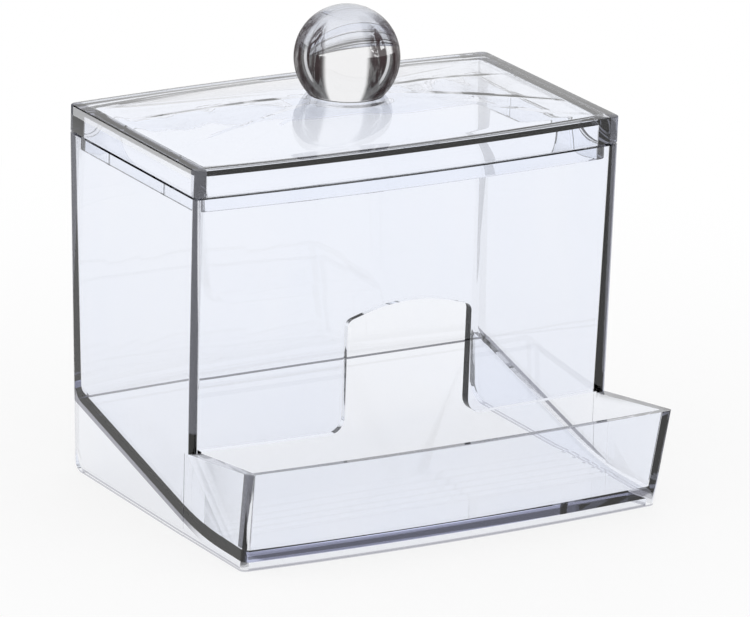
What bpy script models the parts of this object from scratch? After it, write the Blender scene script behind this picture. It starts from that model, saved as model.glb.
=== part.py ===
"""Clear moulded cotton swab dispenser: a hopper that feeds a front tray, a lift-off lid and its ball knob.

Units are metres. X runs across the dispenser, Y from the tray to the back, Z up from the table.
The origin is on the table, midway between the tray's front and the back wall.
"""
import math

import bmesh
import bpy

# Body, outside
BODY_WIDTH = 0.0900
BODY_DEPTH = 0.0750
HOPPER_DEPTH = 0.0488
HOPPER_TOP = 0.0648
FACE_BOW = 0.0018
CORNER_RADIUS = 0.0011
SIDE_LEAN = 0.0005
FRONT_LEAN = 0.0001
BACK_LEAN = 0.0038

# Body, walls
WALL_AT_TOP = 0.0016
WALL_AT_TABLE = 0.0023
TRAY_WALL = 0.0017
SKIRT_WALL = 0.0018
FRONT_SKIRT_WALL = 0.0016

# Tray
TRAY_RIM_FRONT = 0.0196
TRAY_RIM_REAR = 0.0162
TRAY_LEAN = 0.0033
TRAY_TAPER = 0.0009
CREASE_STEP = 0.00008

# Floor
TRAY_FLOOR_TOP = 0.0041
FLOOR_THICKNESS = 0.0025
FLOOR_ANGLE = math.radians(14.0)
FLOOR_BEND_AHEAD = 0.0033
FLOOR_BEND_RADIUS = 0.0600
BACK_INNER_FILLET = 0.0018
BACK_OUTER_ROUND = 0.0032
HEEL_RADIUS = 0.0035

# Outlet under the front wall and the window above it
OUTLET_RISE = 0.00005
OUTLET_SHOULDER = 0.00015
WINDOW_WIDTH = 0.0264
WINDOW_SHOULDER = 0.0380
WINDOW_RISE = 0.0028
WINDOW_CORNER = 0.0016
WINDOW_FOOT_RADIUS = 0.0030

# Lid
SEAT_GAP = 0.0003
LID_RIM_HEIGHT = 0.0052
LID_CROWN = 0.0032
LID_PLATE = 0.0020
PLUG_CLEARANCE = 0.0004
PLUG_WALL = 0.0015
PLUG_DEPTH = 0.0029
RIB_WIDTH = 0.0010
RIB_STAND = 0.0002
RIB_SPACING = 0.0232

# Knob
KNOB_DIAMETER = 0.0198
KNOB_FOOT_DROP = 0.00665
KNOB_SEAT_MARGIN = 0.0005

# Facets
BOW_STEPS = 12
CORNER_STEPS = 3
SIDE_STEPS = 8
DOME_STEPS = 6
ARC_STEPS = 6
KNOB_SEGMENTS = 36
KNOB_RINGS = 16
WELD = 0.000002

# Places worked out from the sizes
TRAY_FRONT_Y = -BODY_DEPTH / 2 + FACE_BOW
BACK_Y = BODY_DEPTH / 2 - FACE_BOW
HOPPER_FRONT_Y = BACK_Y - HOPPER_DEPTH
HOPPER_CENTRE_Y = (HOPPER_FRONT_Y + BACK_Y) / 2
FLOOR_BEND_Y = HOPPER_FRONT_Y - FLOOR_BEND_AHEAD
LID_BOTTOM = HOPPER_TOP + SEAT_GAP
RIM_TOP = LID_BOTTOM + LID_RIM_HEIGHT
CROWN_TOP = RIM_TOP + LID_CROWN
KNOB_RADIUS = KNOB_DIAMETER / 2
KNOB_FOOT_RADIUS = math.sqrt(KNOB_RADIUS ** 2 - KNOB_FOOT_DROP ** 2)
FLOOR_SLOPE = math.tan(FLOOR_ANGLE)
REACH = BODY_WIDTH + BODY_DEPTH

CLEAR_PLASTIC = (0.90, 0.93, 0.98, 1.0)


def clear_scene():
    """Remove every object that the scene holds."""
    for old in list(bpy.data.objects):
        bpy.data.objects.remove(old, do_unlink=True)


def clear_material(name, roughness):
    """Make a clear plastic for one piece."""
    material = bpy.data.materials.new(name)
    material.use_nodes = True
    shader = material.node_tree.nodes["Principled BSDF"]
    shader.inputs["Base Color"].default_value = CLEAR_PLASTIC
    shader.inputs["Roughness"].default_value = roughness
    shader.inputs["Metallic"].default_value = 0.0
    shader.inputs["Transmission Weight"].default_value = 1.0
    shader.inputs["IOR"].default_value = 1.49
    material.diffuse_color = (0.80, 0.88, 0.97, 0.4)
    return material


def mesh_object(name, points, faces):
    """Turn points and faces into an object whose faces point out."""
    mesh = bpy.data.meshes.new(name)
    mesh.from_pydata([tuple(point) for point in points], [], faces)
    work = bmesh.new()
    work.from_mesh(mesh)
    bmesh.ops.recalc_face_normals(work, faces=work.faces)
    if work.calc_volume(signed=True) < 0:
        bmesh.ops.reverse_faces(work, faces=work.faces)
    work.to_mesh(mesh)
    work.free()
    made = bpy.data.objects.new(name, mesh)
    bpy.context.scene.collection.objects.link(made)
    return made


def loft(name, rings):
    """Join closed rings of equal length side by side and cap both ends."""
    count = len(rings[0])
    points = [point for ring in rings for point in ring]
    faces = [tuple(reversed(range(count)))]
    for level in range(len(rings) - 1):
        for step in range(count):
            after = (step + 1) % count
            low, high = level * count, (level + 1) * count
            faces.append((low + step, low + after, high + after, high + step))
    faces.append(tuple((len(rings) - 1) * count + step for step in range(count)))
    return mesh_object(name, points, faces)


def weld(made):
    """Join points that a Boolean left on top of each other."""
    work = bmesh.new()
    work.from_mesh(made.data)
    bmesh.ops.remove_doubles(work, verts=work.verts, dist=WELD)
    work.to_mesh(made.data)
    work.free()


def combine(target, tool, operation):
    """Apply one exact Boolean, weld its seams and drop the tool."""
    modifier = target.modifiers.new(operation.title(), "BOOLEAN")
    modifier.operation = operation
    modifier.solver = "EXACT"
    modifier.object = tool
    with bpy.context.temp_override(object=target, active_object=target, selected_objects=[target]):
        bpy.ops.object.modifier_apply(modifier=modifier.name)
    bpy.data.objects.remove(tool, do_unlink=True)
    weld(target)


def arc(centre_u, centre_v, radius, start, end, steps=ARC_STEPS):
    """Points on an arc between two angles, both ends included."""
    angles = [start + (end - start) * step / steps for step in range(steps + 1)]
    return [(centre_u + radius * math.cos(a), centre_v + radius * math.sin(a)) for a in angles]


def leaned(z, lean):
    """Inward travel of a wall at height z, where lean is its travel from the hopper's top to the table."""
    return lean * (HOPPER_TOP - z) / HOPPER_TOP


def wall_at(z):
    """Thickness of the hopper's walls, which grow towards the table."""
    return WALL_AT_TOP + (WALL_AT_TABLE - WALL_AT_TOP) * (HOPPER_TOP - z) / HOPPER_TOP


def bowed_edge(half, y, bow, radius, outward):
    """One bowed edge with rounded ends, from -X to +X, where outward is -1 at the front and 1 at the back."""
    flat = half - radius
    stations = [-flat + 2 * flat * step / BOW_STEPS for step in range(BOW_STEPS + 1)]
    turn = [radius * math.sin(math.pi / 2 * step / CORNER_STEPS) for step in range(1, CORNER_STEPS + 1)]
    stations = [-(flat + t) for t in reversed(turn)] + stations + [flat + t for t in turn]
    edge = []
    for x in stations:
        past = max(0.0, abs(x) - flat)
        corner = radius - math.sqrt(max(0.0, radius ** 2 - past ** 2))
        edge.append((x, y + outward * (bow * (1 - (x / half) ** 2) - corner)))
    return edge


def plan_outline(half, front, back, bow, radius):
    """Plan of a box with bowed front and back, anticlockwise from above."""
    ahead = bowed_edge(half, front, bow, radius, -1)
    behind = bowed_edge(half, back, bow, radius, 1)
    return ahead + list(reversed(behind))


def hopper_plan(z, inset):
    """Plan of the hopper's walls at height z, moved in by an inset."""
    half = BODY_WIDTH / 2 - leaned(z, SIDE_LEAN) - inset
    front = HOPPER_FRONT_Y + leaned(z, FRONT_LEAN) + inset
    back = BACK_Y - leaned(z, BACK_LEAN) - inset
    radius = max(CORNER_RADIUS - inset / 2, CORNER_RADIUS / 3)
    return [(x, y, z) for x, y in plan_outline(half, front, back, FACE_BOW, radius)]


def crease_y(z):
    """Where the tray's side walls leave the hopper's: at the front wall's inner face."""
    return HOPPER_FRONT_Y + leaned(z, FRONT_LEAN) + wall_at(z)


def rim_height(y):
    """Height of the tray's flat rim, which climbs from the crease to the tray's front."""
    crease = crease_y(TRAY_RIM_REAR)
    run = (crease - y) / (crease - TRAY_FRONT_Y)
    return TRAY_RIM_REAR + (TRAY_RIM_FRONT - TRAY_RIM_REAR) * run


def outlet_top():
    """Height of the outlet's top: just over the tray's rim where that meets the middle of the front wall."""
    return rim_height(HOPPER_FRONT_Y - FACE_BOW - OUTLET_SHOULDER) + OUTLET_RISE


def tray_plan(z, inset, rear, rear_inset):
    """Plan of the tray at height z: bowed front, flared sides and a straight rear edge."""
    low = (TRAY_RIM_FRONT - z) / TRAY_RIM_FRONT
    half = BODY_WIDTH / 2 - TRAY_TAPER * low - inset
    front = TRAY_FRONT_Y + TRAY_LEAN * low + inset
    radius = max(CORNER_RADIUS - inset / 2, CORNER_RADIUS / 3)
    beside = BODY_WIDTH / 2 - leaned(z, SIDE_LEAN) - rear_inset
    edge = bowed_edge(half, front, FACE_BOW, radius, -1)
    return edge + [(beside, crease_y(z)), (beside, rear), (-beside, rear), (-beside, crease_y(z))]


def floor_top(y):
    """Height of the floor's upper face: level in the tray, then a bend, then a steady climb to the back."""
    half_bend = FLOOR_BEND_RADIUS * math.tan(FLOOR_ANGLE / 2)
    start = FLOOR_BEND_Y - half_bend
    end = start + FLOOR_BEND_RADIUS * math.sin(FLOOR_ANGLE)
    if y <= start:
        return TRAY_FLOOR_TOP
    if y <= end:
        return TRAY_FLOOR_TOP + FLOOR_BEND_RADIUS - math.sqrt(FLOOR_BEND_RADIUS ** 2 - (y - start) ** 2)
    return TRAY_FLOOR_TOP + FLOOR_BEND_RADIUS * (1 - math.cos(FLOOR_ANGLE)) + (y - end) * FLOOR_SLOPE


def floor_stations():
    """The Y stations that the floor's bend needs."""
    half_bend = FLOOR_BEND_RADIUS * math.tan(FLOOR_ANGLE / 2)
    start = FLOOR_BEND_Y - half_bend
    end = start + FLOOR_BEND_RADIUS * math.sin(FLOOR_ANGLE)
    return [start + (end - start) * step / ARC_STEPS for step in range(ARC_STEPS + 1)]


def corner_turn(wall_y, height_at, radius):
    """Arc that turns from the climbing floor up into a wall at wall_y, tangent to both."""
    turn = math.pi / 2 - FLOOR_ANGLE
    centre_y = wall_y - radius
    centre_z = height_at(centre_y) + radius / math.cos(FLOOR_ANGLE)
    start = -math.pi / 2 + FLOOR_ANGLE
    return arc(centre_y, centre_z, radius, start, start + turn)


def under_floor(y):
    """Height of the floor's lower face."""
    half_bend = FLOOR_BEND_RADIUS * math.tan(FLOOR_ANGLE / 2)
    climb = min(1.0, max(0.0, (y - FLOOR_BEND_Y + half_bend) / (2 * half_bend)))
    return floor_top(y) - FLOOR_THICKNESS / math.cos(FLOOR_ANGLE * climb)


def across(half):
    """X stations for a piece that follows the bowed faces."""
    return [-half + 2 * half * step / BOW_STEPS for step in range(BOW_STEPS + 1)]


def bow_at(x):
    """Bow of the front and back faces at x."""
    return FACE_BOW * (1 - (2 * x / BODY_WIDTH) ** 2)


def back_y(x, z, inset):
    """Y of the back wall at x and z, moved in by an inset."""
    return BACK_Y - leaned(z, BACK_LEAN) + bow_at(x) - inset


def floor_block():
    """Everything below the floor's upper face, with the fillet that turns up into the back wall."""
    rings = []
    for x in across(BODY_WIDTH):
        wall_y = back_y(x, floor_top(BACK_Y), wall_at(TRAY_FLOOR_TOP))
        rise = corner_turn(wall_y, floor_top, BACK_INNER_FILLET)
        profile = [(-REACH, -REACH), (-REACH, TRAY_FLOOR_TOP)]
        profile += [(y, floor_top(y)) for y in floor_stations()]
        profile += rise + [(wall_y + BACK_OUTER_ROUND, rise[-1][1]), (wall_y + BACK_OUTER_ROUND, -REACH)]
        rings.append([(x, y, z) for y, z in profile])
    return loft("floor block", rings)


def window_cutter():
    """Arched window in the front wall, whose foot flares into the wall's lower edge."""
    half = WINDOW_WIDTH / 2
    crown = WINDOW_RISE
    radius = (half ** 2 + crown ** 2) / (2 * crown)
    foot = WINDOW_FOOT_RADIUS
    start_x = half - WINDOW_CORNER
    arch_start = math.pi / 2 - math.asin(start_x / radius)
    centre_z = WINDOW_SHOULDER + crown - radius
    shoulder_z = centre_z + math.sqrt(radius ** 2 - start_x ** 2)
    wall_foot = outlet_top()
    right = [(half + foot, wall_foot - foot), (half + foot, wall_foot)]
    right += [(half + foot + foot * math.cos(a), wall_foot + foot + foot * math.sin(a))
              for a in [-math.pi / 2 - math.pi / 2 * step / ARC_STEPS for step in range(1, ARC_STEPS + 1)]]
    right += [(half, shoulder_z - WINDOW_CORNER)]
    right += arc(start_x, shoulder_z - WINDOW_CORNER, WINDOW_CORNER, 0.0, arch_start)[1:]
    arch = arc(0.0, centre_z, radius, arch_start, math.pi - arch_start, 2 * ARC_STEPS)[1:-1]
    left = [(-x, z) for x, z in reversed(right)]
    outline = right + arch + left
    near, far = HOPPER_FRONT_Y - 3 * FACE_BOW - WALL_AT_TABLE, HOPPER_FRONT_Y + 3 * WALL_AT_TABLE
    return loft("window", [[(x, y, z) for x, z in outline] for y in (near, far)])


def underside_cutter():
    """Hollow under the floor, open below and behind, between the side panels and the front skirt."""
    half = BODY_WIDTH / 2 - SIDE_LEAN - SKIRT_WALL
    low_front = TRAY_FRONT_Y + TRAY_LEAN + FRONT_SKIRT_WALL
    rings = []
    for x in across(min(half, BODY_WIDTH / 2 - TRAY_TAPER - SKIRT_WALL)):
        wall_y = back_y(x, under_floor(BACK_Y) + BACK_OUTER_ROUND, 0.0)
        rise = corner_turn(wall_y, under_floor, BACK_OUTER_ROUND)
        front = low_front - bow_at(x)
        profile = [(front, -REACH), (front, under_floor(front))]
        profile += [(y, under_floor(y)) for y in floor_stations() if y > low_front]
        profile += rise + [(wall_y + REACH, rise[-1][1]), (wall_y + REACH, -REACH)]
        rings.append([(x, y, z) for y, z in profile])
    return loft("underside", rings)


def heel_cutter():
    """Rounds the lower rear corner of the side panels."""
    heel_y = BACK_Y - leaned(0.0, BACK_LEAN)
    centre_y, centre_z = heel_y - HEEL_RADIUS, HEEL_RADIUS
    round_part = arc(centre_y, centre_z, HEEL_RADIUS, 0.0, -math.pi / 2, ARC_STEPS)
    slope_y = centre_y + HEEL_RADIUS + BACK_LEAN * HEEL_RADIUS / HOPPER_TOP
    profile = [(slope_y + REACH, HEEL_RADIUS), (slope_y + CREASE_STEP, HEEL_RADIUS)] + round_part[1:]
    profile += [(centre_y, -REACH), (slope_y + REACH, -REACH)]
    return loft("heel", [[(x, y, z) for y, z in profile] for x in (-REACH, REACH)])


def make_body():
    """Hopper, sloped floor, tray and skirt, moulded in one piece."""
    body = loft("body", [hopper_plan(0.0, 0.0), hopper_plan(HOPPER_TOP, 0.0)])

    # The tray takes over from the hopper below its rim, ahead of the crease
    ahead = crease_y(TRAY_RIM_REAR)
    step_top = TRAY_RIM_REAR - CREASE_STEP
    block = [(-REACH, -REACH), (REACH, -REACH), (REACH, ahead), (-REACH, ahead)]
    combine(body, loft("ahead", [[(x, y, z) for x, y in block] for z in (-REACH, step_top)]), "DIFFERENCE")
    rear = ahead + 2 * WALL_AT_TABLE
    foot = [(x, y, 0.0) for x, y in tray_plan(0.0, 0.0, rear, CREASE_STEP)]
    rim = [(x, y, rim_height(y)) for x, y in tray_plan(TRAY_RIM_FRONT, 0.0, rear, CREASE_STEP)]
    combine(body, loft("tray", [foot, rim]), "UNION")

    # One cutter for all the room inside: hopper, tray and the way under the front wall
    low, high = -REACH / 4, HOPPER_TOP + SEAT_GAP + PLUG_DEPTH
    inside = loft("inside", [hopper_plan(z, wall_at(z)) for z in (low, high)])
    wall_foot = outlet_top()
    passage = [(x, y) for x, y, _ in hopper_plan(wall_foot, wall_at(wall_foot) + OUTLET_SHOULDER)]
    lane = max(x for x, _ in passage)
    gate_front = HOPPER_FRONT_Y - FACE_BOW - WALL_AT_TABLE
    gate = [(-lane, gate_front), (lane, gate_front), (lane, ahead + WALL_AT_TABLE), (-lane, ahead + WALL_AT_TABLE)]
    combine(inside, loft("gate", [[(x, y, z) for x, y in gate] for z in (low / 2, wall_foot)]), "UNION")
    combine(inside, tray_room(lane), "UNION")
    combine(inside, floor_block(), "DIFFERENCE")
    combine(body, inside, "DIFFERENCE")
    combine(body, window_cutter(), "DIFFERENCE")
    combine(body, underside_cutter(), "DIFFERENCE")
    combine(body, heel_cutter(), "DIFFERENCE")
    return body


def tray_room(lane):
    """Room inside the tray, which ends just ahead of the front wall's outer face and is open above."""
    rings = []
    for z in (-REACH / 4, TRAY_RIM_FRONT + WALL_AT_TABLE):
        low = (TRAY_RIM_FRONT - z) / TRAY_RIM_FRONT
        half = BODY_WIDTH / 2 - TRAY_TAPER * low - TRAY_WALL
        front = TRAY_FRONT_Y + TRAY_LEAN * low + TRAY_WALL
        ahead = bowed_edge(half, front, FACE_BOW, CORNER_RADIUS / 2, -1)
        wall = HOPPER_FRONT_Y + leaned(z, FRONT_LEAN) - OUTLET_SHOULDER
        beside = min(lane + OUTLET_SHOULDER, half)
        behind = [(x, wall - bow_at(x)) for x in across(beside)]
        rings.append([(x, y, z) for x, y in ahead + list(reversed(behind))])
    return loft("tray room", rings)


def lid_ring(half, front, back, radius, height):
    """A closed ring of the lid, with stations along its straight sides too."""
    ahead = bowed_edge(half, front, FACE_BOW, radius, -1)
    behind = bowed_edge(half, back, FACE_BOW, radius, 1)
    start, end = ahead[-1][1], behind[-1][1]
    beside = [start + (end - start) * step / SIDE_STEPS for step in range(1, SIDE_STEPS)]
    plan = ahead + [(half, y) for y in beside] + list(reversed(behind)) + [(-half, y) for y in reversed(beside)]
    return [(x, y, height) for x, y in plan]


def crown_rings(edge, base):
    """Rings that climb from the panel's edge to the round seat, along straight rays from the knob's axis."""
    rings = []
    for step in range(DOME_STEPS + 1):
        share = 1 - step / DOME_STEPS
        height = base + LID_CROWN * (1 - share ** 2)
        ring = []
        for x, y, _ in edge:
            reach = math.hypot(x, y - HOPPER_CENTRE_Y)
            scale = share + (1 - share) * (KNOB_FOOT_RADIUS + KNOB_SEAT_MARGIN) / reach
            ring.append((x * scale, HOPPER_CENTRE_Y + (y - HOPPER_CENTRE_Y) * scale, height))
        rings.append(ring)
    return rings


def make_lid():
    """Lid with a level border, a crowned panel inside it, a round seat, a plug ring and four friction ribs."""
    half, front, back = BODY_WIDTH / 2, HOPPER_FRONT_Y, BACK_Y
    plug_foot = HOPPER_TOP - PLUG_DEPTH
    set_in = wall_at(plug_foot) + PLUG_CLEARANCE
    set_in_side = set_in + leaned(plug_foot, SIDE_LEAN)
    set_in_back = set_in + leaned(plug_foot, BACK_LEAN)
    set_in_front = set_in + leaned(plug_foot, FRONT_LEAN)

    def plug(extra, z):
        radius = max(CORNER_RADIUS - extra / 2, CORNER_RADIUS / 3)
        return lid_ring(half - set_in_side - extra, front + set_in_front + extra,
                        back - set_in_back - extra, radius, z)

    outer_top = lid_ring(half, front, back, CORNER_RADIUS, RIM_TOP)
    outer_low = lid_ring(half, front, back, CORNER_RADIUS, LID_BOTTOM)
    inner = PLUG_WALL
    over = crown_rings(plug(inner, RIM_TOP), RIM_TOP)
    under = crown_rings(plug(inner, RIM_TOP), RIM_TOP - LID_PLATE)
    rings = list(reversed(over)) + [outer_top, outer_low, plug(0.0, LID_BOTTOM), plug(0.0, plug_foot)]
    rings += [plug(inner, plug_foot)] + under
    count = len(rings[0])
    points = [point for ring in rings for point in ring]
    faces = []
    for level in range(len(rings) - 1):
        for step in range(count):
            after = (step + 1) % count
            here, there = level * count, (level + 1) * count
            faces.append((here + step, here + after, there + after, there + step))
    top_pole, low_pole = len(points), len(points) + 1
    points += [(0.0, HOPPER_CENTRE_Y, CROWN_TOP), (0.0, HOPPER_CENTRE_Y, CROWN_TOP - LID_PLATE)]
    last = (len(rings) - 1) * count
    for step in range(count):
        after = (step + 1) % count
        faces.append((step, after, top_pole))
        faces.append((last + step, last + after, low_pole))
    lid = mesh_object("lid", points, faces)

    for side in (-1, 1):
        for place in (-0.5, 0.5):
            combine(lid, friction_rib(side, place, half - set_in_side, plug_foot), "UNION")
    return lid


def friction_rib(side, place, plug_half, plug_foot):
    """A small upright rib that stands out from the plug ring's side."""
    y = HOPPER_CENTRE_Y + RIB_SPACING * place
    inner, outer = side * (plug_half - PLUG_WALL / 2), side * (plug_half + RIB_STAND)
    low_x, high_x = min(inner, outer), max(inner, outer)
    plan = [(low_x, y - RIB_WIDTH / 2), (high_x, y - RIB_WIDTH / 2), (high_x, y + RIB_WIDTH / 2),
            (low_x, y + RIB_WIDTH / 2)]
    foot, top = plug_foot + PLUG_WALL / 6, LID_BOTTOM + PLUG_WALL / 2
    return loft("rib", [[(x, y, z) for x, y in plan] for z in (foot, top)])


def make_knob():
    """Ball with a flat foot, bonded on the lid's seat."""
    foot_angle = math.acos(-KNOB_FOOT_DROP / KNOB_RADIUS)
    foot_z = CROWN_TOP + SEAT_GAP
    centre_z = foot_z + KNOB_FOOT_DROP
    rings = []
    for step in range(1, KNOB_RINGS + 1):
        angle = foot_angle * step / KNOB_RINGS
        level = centre_z + KNOB_RADIUS * math.cos(angle)
        radius = KNOB_RADIUS * math.sin(angle)
        rings.append([(x, y + HOPPER_CENTRE_Y, level) for x, y in
                      arc(0.0, 0.0, radius, 0.0, 2 * math.pi, KNOB_SEGMENTS)[:-1]])
    points = [point for ring in rings for point in ring]
    faces = []
    for level in range(len(rings) - 1):
        for step in range(KNOB_SEGMENTS):
            after = (step + 1) % KNOB_SEGMENTS
            here, there = level * KNOB_SEGMENTS, (level + 1) * KNOB_SEGMENTS
            faces.append((here + step, here + after, there + after, there + step))
    pole = len(points)
    points.append((0.0, HOPPER_CENTRE_Y, centre_z + KNOB_RADIUS))
    faces += [(step, (step + 1) % KNOB_SEGMENTS, pole) for step in range(KNOB_SEGMENTS)]
    faces.append(tuple((len(rings) - 1) * KNOB_SEGMENTS + step for step in range(KNOB_SEGMENTS)))
    return mesh_object("knob", points, faces)


def place_on_lift_axis(made):
    """Move an object's origin onto the line that the lid lifts along."""
    shift = (0.0, HOPPER_CENTRE_Y, LID_BOTTOM)
    for vertex in made.data.vertices:
        vertex.co.x -= shift[0]
        vertex.co.y -= shift[1]
        vertex.co.z -= shift[2]
    made.location = shift


def finish(made, material):
    """Give a piece its material and smooth its rounded faces."""
    made.data.materials.clear()
    made.data.materials.append(material)
    made.data.shade_smooth()
    made.data.set_sharp_from_angle(angle=math.radians(25.0))


def main():
    """Build the three pieces."""
    clear_scene()
    body, lid, knob = make_body(), make_lid(), make_knob()
    for made in (lid, knob):
        place_on_lift_axis(made)
    for made in (body, lid, knob):
        finish(made, clear_material(made.name + " plastic", 0.04))


main()
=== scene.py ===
"""Clear moulded cotton swab dispenser: its looks, studio and camera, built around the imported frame.

All sizes are in metres. X runs across the dispenser, Y from the tray to the back, Z up from the table.
"""
import logging
import math
from dataclasses import dataclass, field, replace
from enum import Enum
from typing import Any, ClassVar, Union

import bmesh
import bpy
import numpy as np
from mathutils import Matrix, Vector


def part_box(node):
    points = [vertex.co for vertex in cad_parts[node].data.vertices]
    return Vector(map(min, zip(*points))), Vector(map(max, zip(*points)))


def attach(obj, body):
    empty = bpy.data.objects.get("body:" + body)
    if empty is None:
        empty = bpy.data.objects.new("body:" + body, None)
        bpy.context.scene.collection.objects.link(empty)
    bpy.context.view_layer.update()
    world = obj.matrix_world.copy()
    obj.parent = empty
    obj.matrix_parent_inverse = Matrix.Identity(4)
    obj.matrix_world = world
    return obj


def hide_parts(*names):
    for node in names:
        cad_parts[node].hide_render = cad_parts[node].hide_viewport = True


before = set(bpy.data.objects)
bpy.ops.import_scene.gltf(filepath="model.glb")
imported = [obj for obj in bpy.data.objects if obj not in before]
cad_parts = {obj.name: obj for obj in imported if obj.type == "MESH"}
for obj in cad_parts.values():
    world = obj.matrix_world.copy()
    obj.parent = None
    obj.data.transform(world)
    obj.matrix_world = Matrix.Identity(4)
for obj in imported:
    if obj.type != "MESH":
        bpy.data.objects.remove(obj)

LOG = logging.getLogger("swab_dispenser")
MM = 0.001
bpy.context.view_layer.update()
# A Mix node's two colour inputs and its colour output, by number.
MIX_LOW, MIX_HIGH, MIX_OUT = 6, 7, 2
Colour = tuple[float, float, float]
Span = tuple[float, float]
Socket = bpy.types.NodeSocket
Operand = Union["Value", float]


class Piece(Enum):
    """The three mouldings: each value is the frame's node name."""

    BODY = "body"
    LID = "lid"
    KNOB = "knob"


class Carrier(Enum):
    """The frame's moving bodies."""

    DISPENSER = "dispenser"
    COVER = "cover"


class Value:
    """A number socket that adds Math nodes when Python operators are used on it."""

    def __init__(self, bench: "Bench", socket: Socket) -> None:
        """Wrap one output socket of a bench's node tree."""
        self.bench = bench
        self.socket = socket

    def _math(self, operation: str, first: Operand, second: Operand) -> "Value":
        """Add one Math node.

        Args:
            operation: the Math node's operation.
            first: the first operand.
            second: the second operand.

        Returns:
            The result as a value.
        """
        return self.bench.node("ShaderNodeMath", {"operation": operation}, {0: first, 1: second}).value(0)

    def __add__(self, other: Operand) -> "Value":
        """Sum."""
        return self._math("ADD", self, other)

    __radd__ = __add__

    def __sub__(self, other: Operand) -> "Value":
        """Difference."""
        return self._math("SUBTRACT", self, other)

    def __rsub__(self, other: Operand) -> "Value":
        """Difference with this value taken away."""
        return self._math("SUBTRACT", other, self)

    def __mul__(self, other: Operand) -> "Value":
        """Product."""
        return self._math("MULTIPLY", self, other)

    __rmul__ = __mul__

    def __truediv__(self, other: Operand) -> "Value":
        """Quotient."""
        return self._math("DIVIDE", self, other)

    def __pow__(self, other: Operand) -> "Value":
        """Power."""
        return self._math("POWER", self, other)

    def most(self, other: Operand) -> "Value":
        """The larger of two."""
        return self._math("MAXIMUM", self, other)

    def ramp(self, low: float, high: float) -> "Value":
        """Smooth step of the value.

        Args:
            low: where the step is 0.
            high: where it is 1.

        Returns:
            The step, from 0 to 1.
        """
        settings = {"interpolation_type": "SMOOTHSTEP"}
        sockets = {"Value": self, "From Min": low, "From Max": high, "To Min": 0.0, "To Max": 1.0}
        return self.bench.node("ShaderNodeMapRange", settings, sockets).value("Result")

    def past(self, limit: float, soft: float) -> "Value":
        """Smooth step from 0 at a limit to 1 at a soft width past it."""
        return self.ramp(limit, limit + soft)

    def before(self, limit: float, soft: float) -> "Value":
        """Smooth step from 1 at a limit to 0 at a soft width past it."""
        return 1.0 - self.past(limit, soft)

    def between(self, low: float, high: float, soft: float) -> "Value":
        """Band with soft ends, from past low to before high."""
        return self.past(low, soft) * self.before(high, soft)

    def beyond(self, limit: float, soft: float) -> "Value":
        """Smooth step, in squares, where the size of the value passes a limit on either side of zero."""
        return (self * self).ramp(limit ** 2, (limit + soft) ** 2)


class Made:
    """A node that a bench has added."""

    def __init__(self, bench: "Bench", node: bpy.types.Node) -> None:
        """Keep the node and the bench that added it."""
        self.bench = bench
        self.raw = node

    def value(self, name: Union[int, str]) -> Value:
        """One output as a number."""
        return Value(self.bench, self.raw.outputs[name])

    def out(self, name: Union[int, str] = 0) -> Socket:
        """One output as a plain socket."""
        return self.raw.outputs[name]


class Bench:
    """Adds nodes to one node tree."""

    def __init__(self, tree: bpy.types.NodeTree) -> None:
        """Empty the tree, so that it starts bare."""
        self.tree = tree
        tree.nodes.clear()

    def node(self, kind: str, settings: dict[str, Any], sockets: dict[Union[int, str], Any]) -> Made:
        """Add one node.

        Args:
            kind: the node's type name.
            settings: properties that are set first.
            sockets: values, links or wrapped values for its inputs.

        Returns:
            The node that was made.
        """
        made = self.tree.nodes.new(kind)
        for name, setting in settings.items():
            setattr(made, name, setting)
        for name, given in sockets.items():
            if isinstance(given, Value):
                given = given.socket
            if isinstance(given, Socket):
                self.tree.links.new(given, made.inputs[name])
            else:
                made.inputs[name].default_value = given
        return Made(self, made)

    def axes(self, place: Socket) -> tuple[Value, Value, Value]:
        """Split a place or a direction into x, y and z."""
        split = self.node("ShaderNodeSeparateXYZ", {}, {0: place})
        return split.value(0), split.value(1), split.value(2)

    def blend(self, factor: Value, low: Union[Colour, Socket], high: Colour) -> Socket:
        """Mix a colour over another one.

        Args:
            factor: 0 gives low and 1 gives high.
            low: the colour below, plain or as a socket.
            high: the colour that is laid over it.

        Returns:
            The mixed colour's socket.
        """
        below = low if isinstance(low, Socket) else (*low, 1.0)
        sockets = {"Factor": factor, MIX_LOW: below, MIX_HIGH: (*high, 1.0)}
        return self.node("ShaderNodeMix", {"data_type": "RGBA"}, sockets).out(MIX_OUT)


def mesh_from_arrays(name: str, points: np.ndarray, quads: np.ndarray,
                     triangles: np.ndarray) -> bpy.types.Object:
    """Put whole arrays into a new mesh object.

    Args:
        name: the object's name.
        points: vertices, one row each.
        quads: four vertex numbers a row.
        triangles: three vertex numbers a row.

    Returns:
        The object, linked to the scene.
    """
    mesh = bpy.data.meshes.new(name)
    corners = np.concatenate([quads.ravel(), triangles.ravel()]).astype(np.int32)
    sizes = np.concatenate([np.full(len(quads), 4), np.full(len(triangles), 3)]).astype(np.int32)
    starts = np.concatenate([[0], np.cumsum(sizes)[:-1]]).astype(np.int32)
    mesh.vertices.add(len(points))
    mesh.vertices.foreach_set("co", np.ascontiguousarray(points, dtype=np.float32).ravel())
    mesh.loops.add(len(corners))
    mesh.loops.foreach_set("vertex_index", corners)
    mesh.polygons.add(len(sizes))
    mesh.polygons.foreach_set("loop_start", starts)
    mesh.update(calc_edges=True)
    mesh.validate()
    made = bpy.data.objects.new(name, mesh)
    bpy.context.scene.collection.objects.link(made)
    return made


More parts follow.
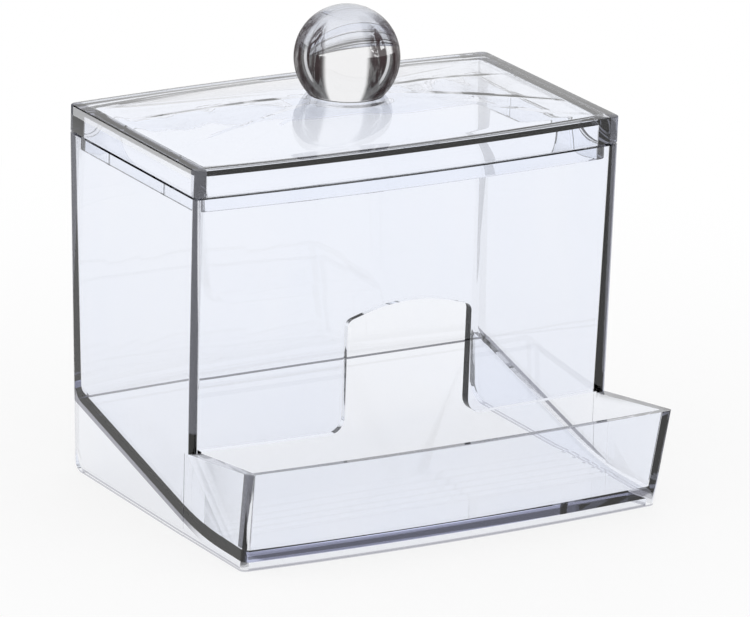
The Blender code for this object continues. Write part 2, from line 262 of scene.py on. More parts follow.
def closed_rings(name: str, rings: np.ndarray, first: np.ndarray, last: np.ndarray) -> bpy.types.Object:
    """Skin a stack of closed rings and close each end with a fan.

    Vertex (i, j) is point j of ring i. Quad (i, j) joins it to its neighbours round the ring and
    along the stack, and the two poles join the first and the last ring.

    Args:
        name: the object's name.
        rings: array of ring, point and axis.
        first: pole before the first ring.
        last: pole after the last ring.

    Returns:
        The closed object.
    """
    levels, count, _ = rings.shape
    row = np.arange(levels - 1)[:, None] * count
    here = np.arange(count)[None, :]
    after = (here + 1) % count
    sides = [row + here, row + count + here, row + count + after, row + after]
    quads = np.stack(sides, axis=-1).reshape(-1, 4)
    start, end = levels * count, levels * count + 1
    ahead, step = np.arange(count), (np.arange(count) + 1) % count
    low = np.stack([np.full(count, start), ahead, step], axis=-1)
    base = (levels - 1) * count
    high = np.stack([np.full(count, end), base + step, base + ahead], axis=-1)
    points = np.concatenate([rings.reshape(-1, 3), [first], [last]])
    return mesh_from_arrays(name, points, quads, np.concatenate([low, high]))


def smooth(made: bpy.types.Object, sharp_from: float) -> None:
    """Shade smoothly, apart from edges that turn more than an angle in radians."""
    made.data.shade_smooth()
    made.data.set_sharp_from_angle(angle=sharp_from)


def quarter(radius: float, steps: int) -> tuple[np.ndarray, np.ndarray]:
    """A quarter round as two arrays: how far it is still inset, and how far it has dropped.

    The inset is radius * (1 - sin a) and the drop is radius * (1 - cos a), for a from 0 to 90 degrees.
    """
    angle = np.linspace(0.0, math.pi / 2, steps + 1)
    return radius * (1 - np.sin(angle)), radius * (1 - np.cos(angle))


@dataclass(frozen=True)
class Plan:
    """Plan outline of the lid: straight sides, front and back that bow out, small round corners."""

    per_rib: ClassVar[int] = 4
    bow: float = 1.8 * MM
    radius: float = 1.1 * MM
    across: int = 64
    beside: tuple[float, ...] = ()
    turns: int = 6

    def edge(self) -> tuple[np.ndarray, np.ndarray, np.ndarray]:
        """Stations of one bowed edge, from -X to +X.

        Returns:
            Shares of the flat half width, sines of the corner's turn with their sign, and 1 - cosine of it.
        """
        flat = np.linspace(-1.0, 1.0, self.across + 1)
        angle = np.linspace(0.0, math.pi / 2, self.turns + 1)[1:]
        reach = np.concatenate([np.full(self.turns, -1.0), flat, np.full(self.turns, 1.0)])
        turn = np.concatenate([-np.sin(angle)[::-1], np.zeros(self.across + 1), np.sin(angle)])
        cut = np.concatenate([(1 - np.cos(angle))[::-1], np.zeros(self.across + 1), 1 - np.cos(angle)])
        return reach, turn, cut

    def corner(self, inset: np.ndarray) -> np.ndarray:
        """Corner radius of rings that are moved in: less by half the inset, down to a third of the plan's."""
        return np.maximum(self.radius - inset / 2, self.radius / 3)

    def rings(self, half: np.ndarray, front: np.ndarray, back: np.ndarray, height: np.ndarray,
              radius: np.ndarray, stand: np.ndarray) -> np.ndarray:
        """Rings of the outline, anticlockwise from above, one for each entry of the arrays.

        On the bowed edges x is the flat half width times a share, plus the corner radius times a sine,
        and y leaves the edge's line by bow * (1 - (x / half)^2), less the corner's cut. The sides are
        straight lines between the corners, moved out by stand where a friction rib is.

        Args:
            half: half the width.
            front: y of the front corners.
            back: y of the back corners.
            height: z of the ring.
            radius: corner radius.
            stand: how far a rib stands out of the sides.

        Returns:
            Array of ring, point and axis.
        """
        half, front, back, radius = half[:, None], front[:, None], back[:, None], radius[:, None]
        reach, turn, cut = (part[None, :] for part in self.edge())
        x = reach * (half - radius) + turn * radius
        swell = self.bow * (1 - (x / half) ** 2) - radius * cut
        ahead, behind = front - swell, back + swell
        share = np.array(self.beside)[None, :]
        rib = np.where(self.on_rib()[None, :], stand[:, None], 0.0)
        side_y = ahead[:, -1:] + (behind[:, -1:] - ahead[:, -1:]) * share
        side_x = half + rib
        xs = np.concatenate([x, side_x, x[:, ::-1], -side_x[:, ::-1]], axis=1)
        ys = np.concatenate([ahead, side_y, behind[:, ::-1], side_y[:, ::-1]], axis=1)
        zs = np.broadcast_to(height[:, None], xs.shape)
        return np.stack([xs, ys, zs], axis=-1)

    def on_rib(self) -> np.ndarray:
        """Which side stations lie on a rib: all but the first and last that each rib takes."""
        place = np.arange(len(self.beside)) % self.per_rib
        return (place > 0) & (place < self.per_rib - 1)


@dataclass(frozen=True)
class Grain:
    """Noise in object space, which may be drawn out along Z."""

    scale: float
    detail: float
    roughness: float
    distortion: float = 0.0
    upright: float = 1.0

    def on(self, bench: Bench, place: Socket) -> Value:
        """Lay the noise on object coordinates, whose Z is first scaled by upright.

        Args:
            bench: the material's bench.
            place: object coordinates.

        Returns:
            The noise, from 0 to 1.
        """
        drawn = bench.node("ShaderNodeMapping", {}, {"Vector": place, "Scale": (1.0, 1.0, self.upright)})
        sockets = {"Vector": drawn.out(), "Scale": self.scale, "Detail": self.detail,
                   "Roughness": self.roughness, "Distortion": self.distortion}
        return bench.node("ShaderNodeTexNoise", {}, sockets).value("Fac")


@dataclass(frozen=True)
class Veil:
    """Matt colour that takes a share of a clear surface."""

    colour: Colour
    share: float

    def over(self, bench: Bench, mask: Value, clear: Socket) -> Socket:
        """Lay the veil over a shader where the mask is 1."""
        matt = bench.node("ShaderNodeBsdfDiffuse", {}, {"Color": (*self.colour, 1.0)}).out()
        return bench.node("ShaderNodeMixShader", {}, {0: mask * self.share, 1: clear, 2: matt}).out()


@dataclass(frozen=True)
class ClearPlastic:
    """Clear moulded polystyrene: a cool cast on its faces, a blue depth in it, flow marks and rub marks."""

    name: str
    cast: Colour = (0.944, 0.961, 0.998)
    cast_deep: Colour = (0.958, 0.971, 1.0)
    cast_flow: Span = (0.30, 0.70)
    refraction: float = 1.57
    depth_colour: Colour = (0.0, 0.10, 0.70)
    depth: float = 6.0
    haze: float = 0.010
    flow: Grain = Grain(scale=55.0, detail=3.0, roughness=0.5, upright=0.35)
    flow_seen: Span = (0.45, 0.70)
    rub: Grain = Grain(scale=900.0, detail=4.0, roughness=0.7)
    rub_seen: Span = (0.62, 0.80)
    ripple: float = 1.2e-6
    ripple_share: float = 0.25

    def material(self) -> bpy.types.Material:
        """Make the material: object-space flow marks vary the cast, roughness and ripple.

        Returns:
            The material.
        """
        made = bpy.data.materials.new(self.name)
        made.use_nodes = True
        bench = Bench(made.node_tree)
        place = bench.node("ShaderNodeTexCoord", {}, {}).out("Object")
        flow, rub = self.flow.on(bench, place), self.rub.on(bench, place)
        marks = rub.ramp(*self.rub_seen) * flow.ramp(*self.flow_seen)
        bump = bench.node("ShaderNodeBump", {}, {"Strength": self.ripple_share, "Distance": self.ripple,
                                                 "Height": flow})
        clear = bench.blend(flow.ramp(*self.cast_flow), self.cast, self.cast_deep)
        shader = bench.node("ShaderNodeBsdfPrincipled", {}, {
            "Base Color": self.painted_shade_colour(bench, place, clear),
            "Roughness": self.haze * marks,
            "IOR": self.refraction,
            "Transmission Weight": 1.0,
            "Normal": bump.out(),
        })
        inside = bench.node("ShaderNodeVolumeAbsorption", {}, {"Color": (*self.depth_colour, 1.0),
                                                               "Density": self.depth})
        surface = self.painted_shade_and_light(bench, place, shader.out())
        bench.node("ShaderNodeOutputMaterial", {}, {"Surface": surface, "Volume": inside.out()})
        return made

    def painted_shade_colour(self, bench: Bench, place: Socket, clear: Socket) -> Socket:
        """The face colour at object coordinates, where painted dark shade may darken the clear one."""
        return clear

    def painted_shade_and_light(self, bench: Bench, place: Socket, clear: Socket) -> Socket:
        """The surface shader at object coordinates, where painted shade and painted highlights may be laid
        over the clear one.
        """
        return clear


@dataclass(frozen=True)
class BodyPlastic(ClearPlastic):
    """The body's plastic, with painted dark shade on its tray, slope ends, a rear line and foot, and painted
    grey shade on its upright corners.
    """

    soft: float = 0.15 * MM
    # Painted shade: the colours from here on darken the tray's corners, its rim, the slope's ends, a line
    # across the slope near its back, the sill and the foot.
    edge: Colour = (0.04, 0.04, 0.05)
    side: float = 44.0 * MM
    corner_y: float = -32.9 * MM
    corner_z: float = 14.6 * MM
    corner_lean: float = 0.18
    corner_foot: float = 4.6 * MM
    rim: Colour = (0.30, 0.30, 0.34)
    rim_low: float = 19.6 * MM
    rim_high: float = 20.2 * MM
    rim_back: float = -16.0 * MM
    slope_end_shade: Colour = (0.14, 0.14, 0.17)
    slope_side: float = 44.3 * MM
    slope_start: float = 8.24 * MM
    slope_rise: float = 0.2467
    slope_low: float = 4.1 * MM
    slope_thick: float = 2.6 * MM
    rear_shade_line: Colour = (0.05, 0.05, 0.06)
    rear_line_y: float = 28.0 * MM
    rear_line_half: float = 0.42 * MM
    rear_line_depth: float = 0.6 * MM
    sill: Colour = (0.20, 0.20, 0.24)
    sill_y: float = -33.1 * MM
    sill_low: float = 1.9 * MM
    sill_high: float = 3.9 * MM
    foot: Colour = (0.34, 0.34, 0.39)
    foot_start: Span = (0.05 * MM, 0.10 * MM)
    foot_high: float = 0.35 * MM
    # Painted grey shade on the hopper's upright corners.
    corner_shade_veil: Veil = Veil((0.42, 0.43, 0.50), 0.30)
    hopper_side: float = 43.3 * MM
    hopper_front: float = -12.1 * MM
    hopper_back: float = 34.8 * MM
    hopper_lean: float = 0.0586
    hopper_foot: float = 20.3 * MM

    def painted_shade_colour(self, bench: Bench, place: Socket, clear: Socket) -> Socket:
        """Paint dark shade on the tray's rim, the slope's ends, a rear line across the slope, the sill, the
        foot and the tray's corners.

        The painted shade on the rim lies between rim_low and rim_high, before rim_back. The slope's top is at
        slope_start + slope_rise * y, and no lower than slope_low: its ends are where |x| is past slope_side,
        within slope_thick below the top, and the rear line is a painted dark line across it at a set y. The
        sill's painted shade is on the tray floor's front edge, before sill_y. The foot's painted shade is a
        thin line just over the table. A tray corner's painted shade is where |x| is past side and
        y + corner_lean * (z - corner_z) is before corner_y.

        Args:
            bench: the material's bench.
            place: object coordinates.
            clear: the clear face's colour.

        Returns:
            The colour's socket.
        """
        x, y, z = bench.axes(place)
        depth = z - (self.slope_start + self.slope_rise * y).most(self.slope_low)
        rim = z.between(self.rim_low, self.rim_high, self.soft) * y.before(self.rim_back, self.soft)
        ends = (x.beyond(self.slope_side, self.soft)
                * depth.between(-self.slope_thick - self.soft, -self.soft, self.soft))
        rear_shade_line = ((1.0 - (y - self.rear_line_y).beyond(self.rear_line_half - self.soft, self.soft))
                * depth.between(-self.rear_line_depth, self.rear_line_depth, self.soft)
                * (1.0 - x.beyond(self.hopper_side, self.side - self.hopper_side)))
        sill = y.before(self.sill_y, self.soft) * z.between(self.sill_low, self.sill_high, self.soft)
        foot = z.ramp(*self.foot_start) * z.before(self.foot_high, self.soft)
        corner = (x.beyond(self.side, self.soft) * z.past(self.corner_foot, self.soft)
                  * (y + self.corner_lean * (z - self.corner_z)).before(self.corner_y, self.soft))
        # Lay each painted dark shade over the clear face colour.
        for mask, colour in ((rim, self.rim), (ends, self.slope_end_shade), (rear_shade_line, self.rear_shade_line), (sill, self.sill),
                             (foot, self.foot), (corner, self.edge)):
            clear = bench.blend(mask, clear, colour)
        return clear

    def painted_shade_and_light(self, bench: Bench, place: Socket, clear: Socket) -> Socket:
        """Paint grey shade on the hopper's four upright corners, where |x| is past hopper_side, near its
        front and back.

        The front corners lie before hopper_front, the back ones where y + hopper_lean * z is past
        hopper_back.

        Args:
            bench: the material's bench.
            place: object coordinates.
            clear: the clear plastic's shader.

        Returns:
            The shader's socket.
        """
        x, y, z = bench.axes(place)
        front = y.before(self.hopper_front, self.soft)
        back = (y + self.hopper_lean * z).past(self.hopper_back, self.soft)
        corner = x.beyond(self.hopper_side, self.soft) * front.most(back)
        # Lay the painted grey shade over the hopper's upright corners.
        return self.corner_shade_veil.over(bench, corner * z.past(self.hopper_foot, self.soft), clear)


@dataclass(frozen=True)
class LidPlastic(ClearPlastic):
    """The lid's plastic, with painted dark shade along its sides, painted grey shade on its corners and a
    painted pale highlight strip on the rim.
    """

    soft: float = 0.12 * MM
    # Painted dark shade along the lid's side borders.
    edge: Colour = (0.12, 0.12, 0.15)
    border: float = 42.75 * MM
    level: float = 70.2 * MM
    # Painted grey shade on the lid's corners.
    corner_shade_veil: Veil = Veil((0.42, 0.43, 0.50), 0.24)
    corner_front: float = -11.4 * MM
    corner_back: float = 34.0 * MM
    # Painted pale highlight along the top of the rim's two sides.
    painted_highlight_strip: Veil = Veil((0.95, 0.96, 0.98), 0.5)
    strip_side: float = 44.6 * MM
    strip_low: float = 68.3 * MM
    strip_high: float = 70.0 * MM

    def painted_shade_colour(self, bench: Bench, place: Socket, clear: Socket) -> Socket:
        """Paint dark shade on the border along the sides, where |x| is past border and z past level.

        Args:
            bench: the material's bench.
            place: object coordinates.
            clear: the clear face's colour.

        Returns:
            The colour's socket.
        """
        x, _, z = bench.axes(place)
        dark = x.beyond(self.border, self.soft) * z.past(self.level, self.soft / 2)
        return bench.blend(dark, clear, self.edge)

    def painted_shade_and_light(self, bench: Bench, place: Socket, clear: Socket) -> Socket:
        """Paint grey shade on the lid's four corners, and lay a painted pale highlight strip along the top of
        the rim's two sides.

        A corner is where |x| is past border, before corner_front or past corner_back. The strip is where
        |x| is past strip_side, between strip_low and strip_high and between the corners.

        Args:
            bench: the material's bench.
            place: object coordinates.
            clear: the clear plastic's shader.

        Returns:
            The shader's socket.
        """
        x, y, z = bench.axes(place)
        front = y.before(self.corner_front, self.soft)
        back = y.past(self.corner_back, self.soft)
        # Lay the painted grey shade on the corners, then the painted pale highlight on the rim's sides.
        clear = self.corner_shade_veil.over(bench, x.beyond(self.border, self.soft) * front.most(back), clear)
        painted_highlight_strip = (x.beyond(self.strip_side, self.soft) * z.between(self.strip_low, self.strip_high, self.soft)
                 * (1.0 - front) * (1.0 - back))
        return self.painted_highlight_strip.over(bench, painted_highlight_strip, clear)


@dataclass(frozen=True)
class BallPlastic(ClearPlastic):
    """The ball's plastic: thick clear stock, with the dark room's reflection painted on its waist in upright
    streaks.

    Heights and distances from its axis are shares of the radius. Rings are spans of Layer Weight's Facing.
    """

    cast: Colour = (0.965, 0.970, 0.985)
    cast_deep: Colour = (0.975, 0.980, 0.990)
    depth_colour: Colour = (0.20, 0.15, 0.10)
    centre: tuple[float, float, float] = (0.0, 0.0, 0.0)
    radius: float = 9.9 * MM
    bearing: float = math.radians(30.8)
    # Painted dark reflection of the room: streaks and a dark rim on the ball's flanks, and the noise of the
    # streaks.
    painted_dark_reflection: Veil = Veil((0.045, 0.027, 0.029), 0.88)
    reflection_streak_grain: Grain = Grain(scale=620.0, detail=3.0, roughness=0.6, distortion=1.2, upright=0.14)
    streak_height: Span = (0.60, 0.98)
    streak_aside: Span = (0.34, 0.52)
    ring_start: Span = (0.43, 0.52)
    ring_seen: Span = (0.40, 0.60)
    ring_plain: float = 0.70
    inner_start: Span = (0.05, 0.12)
    inner_end: Span = (0.31, 0.36)
    inner_seen: Span = (0.40, 0.50)
    # Painted white glint inside the dark rim.
    glint: Veil = Veil((0.95, 0.96, 0.98), 0.75)
    glint_start: Span = (0.335, 0.350)
    glint_end: Span = (0.395, 0.415)
    glint_drop: float = 0.14
    glint_height: Span = (0.30, 0.56)
    glint_aside: Span = (0.58, 0.66)

    def apart(self, distance: Value, shares: Span) -> Value:
        """Smooth step where the size of a distance passes from one share of the radius to the other."""
        return distance.beyond(shares[0] * self.radius, (shares[1] - shares[0]) * self.radius)

    def painted_shade_and_light(self, bench: Bench, place: Socket, clear: Socket) -> Socket:
        """Paint a dark shade ring where the ball curves away, and painted dark reflection streaks inside it,
        on the ball's two flanks.

        The ring is a soft step of Facing. The streaks are noise drawn out along Z, kept to the band of
        Facing inside a clear line. Both grow with the distance from the upright plane through the ball's
        axis at its bearing, and fade by the height over the ball's centre. The line between them gets
        a painted white glint at its lower half.

        Args:
            bench: the material's bench.
            place: object coordinates.
            clear: the clear plastic's shader.

        Returns:
            The shader's socket.
        """
        facing = bench.node("ShaderNodeLayerWeight", {}, {}).value("Facing")
        noise = self.reflection_streak_grain.on(bench, place)
        x, y, z = bench.axes(place)
        flank = (x - self.centre[0]) * math.cos(self.bearing) - (y - self.centre[1]) * math.sin(self.bearing)
        height = z - self.centre[2]
        ring = facing.ramp(*self.ring_start) * (self.ring_plain
                                                + (1.0 - self.ring_plain) * noise.ramp(*self.ring_seen))
        inner = (facing.ramp(*self.inner_start) * (1.0 - facing.ramp(*self.inner_end))
                 * noise.ramp(*self.inner_seen))
        dark = (ring.most(inner) * (1.0 - self.apart(height, self.streak_height))
                * self.apart(flank, self.streak_aside))
        line = (facing.ramp(*self.glint_start) * (1.0 - facing.ramp(*self.glint_end))
                * (1.0 - self.apart(height + self.glint_drop * self.radius, self.glint_height))
                * self.apart(flank, self.glint_aside))
        # Lay the painted dark reflection, then the painted white glint, over the clear plastic.
        return self.glint.over(bench, line, self.painted_dark_reflection.over(bench, dark, clear))


@dataclass
class Moulding:
    """What the three pieces share: a finish, a frame node, a slot and the body that carries them."""

    piece: Piece
    carrier: Carrier
    finish: ClearPlastic

    def dress(self, made: bpy.types.Object) -> bpy.types.Object:
        """Give the piece its finish and tie it to the frame.

        Args:
            made: the new piece.

        Returns:
            The same piece.
        """
        made.data.materials.clear()
        made.data.materials.append(self.finish.material())
        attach(made, self.carrier.value)
        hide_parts(self.piece.value)
        LOG.info("%s: %d faces", made.name, len(made.data.polygons))
        return made


@dataclass
class Body(Moulding):
    """Hopper, sloped floor, tray and skirt: the frame's own solid with its moulded edges eased."""

    ease: float = 0.22 * MM
    ease_steps: int = 3
    sharp_from: float = math.radians(34.0)
    panel_weight: int = 90
    panel_area: float = 60.0 * MM * MM
    panel_turn: float = math.radians(1.5)
    weld: float = 0.002 * MM
    flat_within: float = math.radians(0.05)

    def build(self) -> bpy.types.Object:
        """Merge a copy of the frame's body, join its flat facets and round its edges.

        Returns:
            The finished piece.
        """
        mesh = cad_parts[self.piece.value].data.copy()
        work = bmesh.new()
        work.from_mesh(mesh)
        bmesh.ops.remove_doubles(work, verts=work.verts, dist=self.weld)
        bmesh.ops.dissolve_degenerate(work, edges=work.edges, dist=self.weld)
        bmesh.ops.dissolve_limit(work, angle_limit=self.flat_within, verts=work.verts, edges=work.edges)
        creases = self.creases(work)
        work.to_mesh(mesh)
        work.free()
        made = bpy.data.objects.new("clear_body", mesh)
        bpy.context.scene.collection.objects.link(made)
        self.drop_stored_normals(made)
        smooth(made, self.sharp_from)
        sharp = np.zeros(len(mesh.edges), dtype=bool)
        mesh.attributes["sharp_edge"].data.foreach_get("value", sharp)
        mesh.attributes["sharp_edge"].data.foreach_set("value", sharp | creases)
        eased = made.modifiers.new("eased edges", "BEVEL")
        eased.width = self.ease
        eased.segments = self.ease_steps
        eased.limit_method = "ANGLE"
        eased.angle_limit = self.sharp_from
        flat = made.modifiers.new("flat panels", "WEIGHTED_NORMAL")
        flat.mode = "FACE_AREA"
        flat.weight = self.panel_weight
        flat.keep_sharp = True
        return self.dress(made)

    def creases(self, work: bmesh.types.BMesh) -> np.ndarray:
        """Mark the edges where one large panel turns into another, however little, so that both shade flat.

        Args:
            work: the merged body.

        Returns:
            One flag for each edge.
        """
        work.edges.index_update()
        found = np.zeros(len(work.edges), dtype=bool)
        for edge in work.edges:
            large = [face for face in edge.link_faces if face.calc_area() > self.panel_area]
            if len(large) == 2 and edge.calc_face_angle(0.0) > self.panel_turn:
                found[edge.index] = True
        return found

    @staticmethod
    def drop_stored_normals(made: bpy.types.Object) -> None:
        """Remove the facet normals that came with the frame's mesh.

        Args:
            made: the new piece.
        """
        if made.data.has_custom_normals:
            with bpy.context.temp_override(object=made, active_object=made, selected_objects=[made]):
                bpy.ops.mesh.customdata_custom_splitnormals_clear()


@dataclass
class Lid(Moulding):
    """Lid: level border, crowned panel with a round seat, thick rim, plug ring with four friction ribs."""

    rim_height: float = 5.2 * MM
    crown: float = 3.2 * MM
    plate: float = 2.0 * MM
    plug_wall: float = 1.5 * MM
    inset_side: float = 2.054 * MM
    inset_front: float = 2.036 * MM
    inset_back: float = 2.201 * MM
    rib_spacing: float = 23.2 * MM
    rib_width: float = 1.0 * MM
    rib_flat: float = 0.999
    rib_stand: float = 0.2 * MM
    seat_radius: float = 7.83 * MM
    ledge: float = 0.1 * MM
    ease: float = 0.25 * MM
    ease_steps: int = 3
    over_steps: int = 30
    under_steps: int = 24
    sharp_from: float = math.radians(20.0)
    plan: Plan = Plan()
    half: float = field(init=False)
    front: float = field(init=False)
    back: float = field(init=False)
    middle: float = field(init=False)
    foot: float = field(init=False)
    bottom: float = field(init=False)
    rim_top: float = field(init=False)
    top: float = field(init=False)

    def __post_init__(self) -> None:
        """Read the lid's place from the frame, and put the ribs' stations on the plan's sides."""
        low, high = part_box(self.piece.value)
        self.half = high[0]
        self.front = low[1] + self.plan.bow
        self.back = high[1] - self.plan.bow
        self.foot = low[2]
        self.top = high[2]
        self.rim_top = self.top - self.crown
        self.bottom = self.rim_top - self.rim_height
        self.middle = (self.front + self.back) / 2
        run = self.back - self.front - 2 * self.plan.radius
        offsets = [share * self.rib_width / 2 for share in (-1.0, -self.rib_flat, self.rib_flat, 1.0)]
        shares = tuple(0.5 + (side * self.rib_spacing / 2 + offset) / run
                       for side in (-1, 1) for offset in offsets)
        self.plan = replace(self.plan, beside=shares)

    def wall_rings(self, inset: np.ndarray, height: np.ndarray) -> np.ndarray:
        """Rings that follow the outline, moved in by an inset."""
        return self.plan.rings(self.half - inset, self.front + inset, self.back - inset, height,
                               self.plan.corner(inset), np.zeros(len(inset)))

    def plug_rings(self, extra: np.ndarray, height: np.ndarray, stand: np.ndarray) -> np.ndarray:
        """Rings of the plug, moved in from its outer face by an extra inset, standing out at the ribs."""
        return self.plan.rings(self.half - self.inset_side - extra, self.front + self.inset_front + extra,
                               self.back - self.inset_back - extra, height, self.plan.corner(extra), stand)

    def swell(self, offset: np.ndarray) -> np.ndarray:
        """Pillow form (1 - u^2)(1 - v^2) of the panel, with no hips.

        u is the distance across over half the panel's width. v is the distance along over half its
        depth there, with the bow: depth + bow * (1 - u^2).

        Args:
            offset: distances from the knob's axis across and along, in the last axis.

        Returns:
            The form, 1 in the middle and 0 on the panel's edge.
        """
        across = offset[..., 0] / (self.half - self.inset_side - self.plug_wall)
        depth = (self.back - self.front - self.inset_front - self.inset_back) / 2 - self.plug_wall
        along = offset[..., 1] / (depth + self.plan.bow * (1 - np.minimum(across ** 2, 1.0)))
        return np.maximum(1 - across ** 2, 0.0) * np.maximum(1 - along ** 2, 0.0)

    def crown_rings(self, base: float, steps: int) -> np.ndarray:
        """Rings of the panel from the round seat out to its edge, along straight rays from the knob's axis.

        Point j of ring i lies at middle + d_j * (w_i + (1 - w_i) * seat / |d_j|), with d_j the edge's
        offset and w_i from 0 at the seat to 1 at the edge. Its height is base + crown * swell / swell at
        the seat on the same ray, so the panel falls smoothly from the level seat to the level border.

        Args:
            base: height of the panel's edge.
            steps: how many rings follow the seat's.

        Returns:
            Array of ring, point and axis.
        """
        none = np.zeros(1)
        offset = self.plug_rings(np.array([self.plug_wall]), none, none)[0, :, :2] - [0.0, self.middle]
        reach = np.linalg.norm(offset, axis=1)[None, :, None]
        weight = np.linspace(0.0, 1.0, steps + 1)[:, None, None]
        ray = offset[None] * (weight + (1 - weight) * self.seat_radius / reach)
        form = self.swell(ray)
        form = form / form[:1]
        form[-1] = 0.0
        height = base + self.crown * form[..., None]
        return np.concatenate([ray + [0.0, self.middle], height], axis=-1)

    def build(self) -> bpy.types.Object:
        """Carry the lid's section round its plan: panel, border, rim, ledge, plug and ceiling.

        Returns:
            The finished piece.
        """
        inset, drop = quarter(self.ease, self.ease_steps)
        none = np.zeros(len(inset))
        stand = self.rib_stand
        over = self.crown_rings(self.rim_top, self.over_steps)
        rim_edge = self.wall_rings(inset, self.rim_top - drop)
        rim_foot = self.wall_rings(inset[::-1], self.bottom + drop[::-1])
        ledge = self.plug_rings(np.array([-self.ledge, 0.0]),
                                np.array([self.bottom, self.bottom - self.ledge]), np.array([0.0, stand]))
        plug_foot = self.plug_rings(inset[::-1], self.foot + drop[::-1], stand * (drop[::-1] / self.ease))
        plug_in = self.plug_rings(self.plug_wall - inset, self.foot + drop, none)
        under = self.crown_rings(self.rim_top - self.plate, self.under_steps)[::-1]
        rings = np.concatenate([over, rim_edge, rim_foot, ledge, plug_foot, plug_in, under])
        made = closed_rings("clear_lid", rings, np.array([0.0, self.middle, self.top]),
                            np.array([0.0, self.middle, self.top - self.plate]))
        smooth(made, self.sharp_from)
        return self.dress(made)


@dataclass
class Knob(Moulding):
    """Solid ball with a flat foot, bonded on the lid's seat."""

    finish: BallPlastic
    seat_gap: float = 0.3 * MM
    bond: float = 0.02 * MM
    ease: float = 0.25 * MM
    ease_steps: int = 3
    around: int = 128
    down: int = 72
    sharp_from: float = math.radians(40.0)

    def build(self) -> bpy.types.Object:
        """Turn the ball's section round its upright axis.

        The section is radius * (sin a, cos a) down to the foot, then a small round and the flat foot.

        Returns:
            The finished piece.
        """
        low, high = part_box(self.piece.value)
        radius = (high[0] - low[0]) / 2
        middle_x, middle_y = (high[0] + low[0]) / 2, (high[1] + low[1]) / 2
        centre = high[2] - radius
        foot = low[2] - self.seat_gap + self.bond
        end = math.acos(-(centre - foot - self.ease) / radius)
        angle = np.linspace(0.0, end, self.down + 1)[1:]
        rise, draw = (part[1:] for part in quarter(self.ease, self.ease_steps))
        section_r = np.concatenate([radius * np.sin(angle), radius * math.sin(end) - draw])
        section_z = np.concatenate([centre + radius * np.cos(angle), foot + rise])
        turn = np.linspace(0.0, 2 * math.pi, self.around, endpoint=False)
        x = middle_x + section_r[:, None] * np.cos(turn)
        y = middle_y + section_r[:, None] * np.sin(turn)
        z = np.broadcast_to(section_z[:, None], x.shape)
        self.finish = replace(self.finish, centre=(middle_x, middle_y, centre), radius=radius)
        made = closed_rings("clear_knob", np.stack([x, y, z], axis=-1),
                            np.array([middle_x, middle_y, high[2]]), np.array([middle_x, middle_y, foot]))
        smooth(made, self.sharp_from)
        return self.dress(made)


@dataclass(frozen=True)
class Flag:
    """A dark card that stands in the studio and gives clear plastic its dark edges. Angles are in degrees."""

    bearing: float
    half_width: float = 21.0
    foot: float = -30.0
    head: float = 38.0
    soft: float = 3.0
    dark: float = 0.9

    def around(self, angle: float) -> Span:
        """An angle less the soft width and with it, in radians."""
        return math.radians(angle - self.soft), math.radians(angle + self.soft)

    def shade(self, across: Value, along: Value, up: Value) -> Value:
        """What the card leaves of the light from a direction.

        The card's cover is a soft step of the cosine to its bearing, times soft steps of the direction's
        height at its foot and head.

        Args:
            across: the level direction's x.
            along: the level direction's y.
            up: the direction's z.

        Returns:
            The share that is left.
        """
        bearing = math.radians(self.bearing)
        facing = across * math.sin(bearing) + along * math.cos(bearing)
        inner, outer = self.around(self.half_width)
        foot_low, foot_high = self.around(self.foot)
        head_low, head_high = self.around(self.head)
        cover = (facing.ramp(math.cos(outer), math.cos(inner))
                 * up.ramp(math.sin(foot_low), math.sin(foot_high))
                 * (1.0 - up.ramp(math.sin(head_low), math.sin(head_high))))
        return 1.0 - self.dark * cover


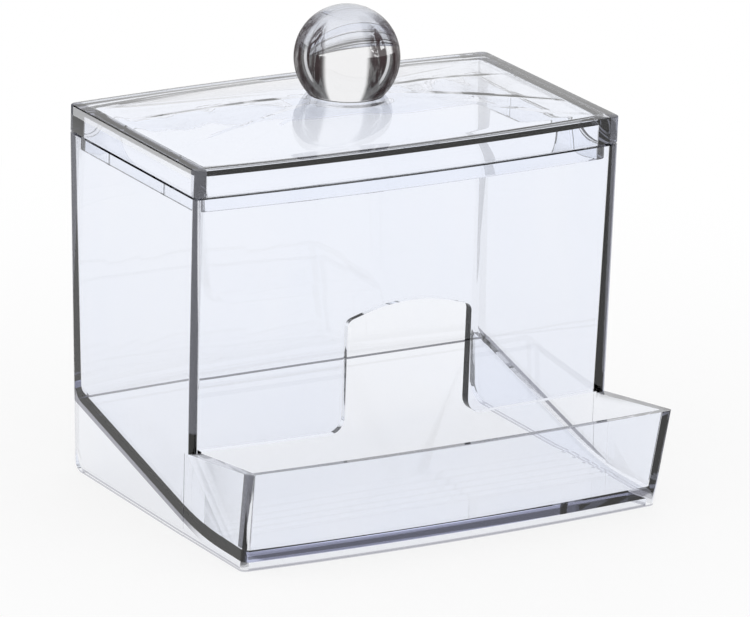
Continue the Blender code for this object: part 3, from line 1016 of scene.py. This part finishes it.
@dataclass
class Studio:
    """White table and soft sky, with the dark cards that clear plastic is lit with."""

    table_radius: float = 0.32
    shadow_radius: float = 0.07
    shadow_end: float = 0.22
    floor_shadow: float = 0.2
    around: int = 96
    never_zero: float = 1e-9
    white: Colour = (1.0, 1.0, 1.0)
    paper: Colour = (0.95, 0.95, 0.95)
    trapped: Span = (1.2, 3.5)
    trapped_dark: float = 0.8
    table_mirrored: float = 0.08
    flags: tuple[Flag, ...] = (Flag(bearing=71.0), Flag(bearing=-9.0))

    def kept(self, turns: Value) -> Value:
        """Share of the white that light keeps: the more it is thrown about in the plastic, the less of it."""
        return 1.0 - self.trapped_dark * turns.ramp(*self.trapped)

    def sky(self) -> None:
        """Light everything from a white sky, which the cards darken for all but the camera's own rays."""
        world = bpy.data.worlds.new("studio sky")
        bpy.context.scene.world = world
        world.use_nodes = True
        bench = Bench(world.node_tree)
        x, y, up = bench.axes(bench.node("ShaderNodeTexCoord", {}, {}).out("Generated"))
        level = (x * x + y * y + self.never_zero) ** 0.5
        path = bench.node("ShaderNodeLightPath", {}, {})
        left = self.kept(path.value("Glossy Depth"))
        for flag in self.flags:
            left = left * flag.shade(x / level, y / level, up)
        light = bench.node("ShaderNodeBackground", {}, {"Color": (*self.white, 1.0),
                                                        "Strength": left.most(path.value("Is Camera Ray"))})
        bench.node("ShaderNodeOutputWorld", {}, {"Surface": light.out()})

    def floor(self) -> None:
        """Lay a round white table top, centred under the dispenser."""
        turn = np.linspace(0.0, 2 * math.pi, self.around, endpoint=False)
        rim = np.stack([np.cos(turn), np.sin(turn), np.zeros(self.around)], axis=-1) * self.table_radius
        order = np.arange(self.around)
        fan = np.stack([order, (order + 1) % self.around, np.full(self.around, self.around)], axis=-1)
        made = mesh_from_arrays("table_top", np.concatenate([rim, [(0.0, 0.0, 0.0)]]), np.empty((0, 4)), fan)
        made.data.materials.append(self.table_paper())

    def table_paper(self) -> bpy.types.Material:
        """Make the table's paper: matt for the light that it scatters, and glowing for the rays that see it.

        Seen directly or through the plastic it is white, and keeps a share of the shadow near the object.

        Returns:
            The material.
        """
        made = bpy.data.materials.new("white paper")
        made.use_nodes = True
        bench = Bench(made.node_tree)
        path = bench.node("ShaderNodeLightPath", {}, {})
        seen = (path.value("Is Camera Ray").most(path.value("Is Glossy Ray"))
                .most(path.value("Is Transmission Ray")))
        turns = path.value("Glossy Depth")
        mirrored = 1.0 - self.table_mirrored * turns.ramp(0.0, 1.0)
        matt = bench.node("ShaderNodeBsdfDiffuse", {}, {"Color": (*self.paper, 1.0)})
        glow = bench.node("ShaderNodeEmission", {}, {"Color": (*self.white, 1.0),
                                                     "Strength": mirrored * self.kept(turns)})
        place = bench.node("ShaderNodeTexCoord", {}, {}).out("Object")
        reach = bench.node("ShaderNodeVectorMath", {"operation": "LENGTH"}, {0: place}).value("Value")
        shadow = self.floor_shadow * (1.0 - reach.ramp(self.shadow_radius, self.shadow_end))
        both = bench.node("ShaderNodeMixShader", {}, {0: seen * (1.0 - shadow), 1: matt.out(), 2: glow.out()})
        bench.node("ShaderNodeOutputMaterial", {}, {"Surface": both.out()})
        return made

    def build(self) -> None:
        """Set the view transform and build the studio."""
        bpy.context.scene.view_settings.view_transform = "Standard"
        self.sky()
        self.floor()


@dataclass
class PhotoCamera:
    """The photograph's camera: a long lens from the front left, looking down, with a slight roll."""

    place: tuple[float, float, float] = (-0.63900, -1.07481, 0.43150)
    bearing: float = 0.5372
    tilt_down: float = 0.30716
    roll: float = 0.03478
    focal_pixels: float = 7066.5
    picture_width: float = 750.0
    sensor: float = 36.0

    def build(self) -> None:
        """Add the camera from its place and three angles."""
        camera = bpy.data.cameras.new("photo camera")
        camera.sensor_width = self.sensor
        camera.lens = self.focal_pixels / self.picture_width * self.sensor
        made = bpy.data.objects.new("photo camera", camera)
        bpy.context.scene.collection.objects.link(made)
        ahead = Vector((math.sin(self.bearing) * math.cos(self.tilt_down),
                        math.cos(self.bearing) * math.cos(self.tilt_down), -math.sin(self.tilt_down)))
        level = Vector((math.cos(self.bearing), -math.sin(self.bearing), 0.0))
        upright = level.cross(ahead)
        side = math.cos(self.roll) * level + math.sin(self.roll) * upright
        top = -math.sin(self.roll) * level + math.cos(self.roll) * upright
        turned = Matrix((side, top, -ahead)).transposed().to_4x4()
        turned.translation = Vector(self.place)
        made.matrix_world = turned
        bpy.context.scene.camera = made


def main() -> None:
    """Build the camera, the studio and the three mouldings, in that order."""
    logging.basicConfig(level=logging.INFO, format="%(message)s")
    PhotoCamera().build()
    Studio().build()
    Body(Piece.BODY, Carrier.DISPENSER, BodyPlastic("clear body plastic")).build()
    Lid(Piece.LID, Carrier.COVER, LidPlastic("clear lid plastic")).build()
    Knob(Piece.KNOB, Carrier.COVER, BallPlastic("clear knob plastic")).build()


if __name__ == "__main__":
    main()
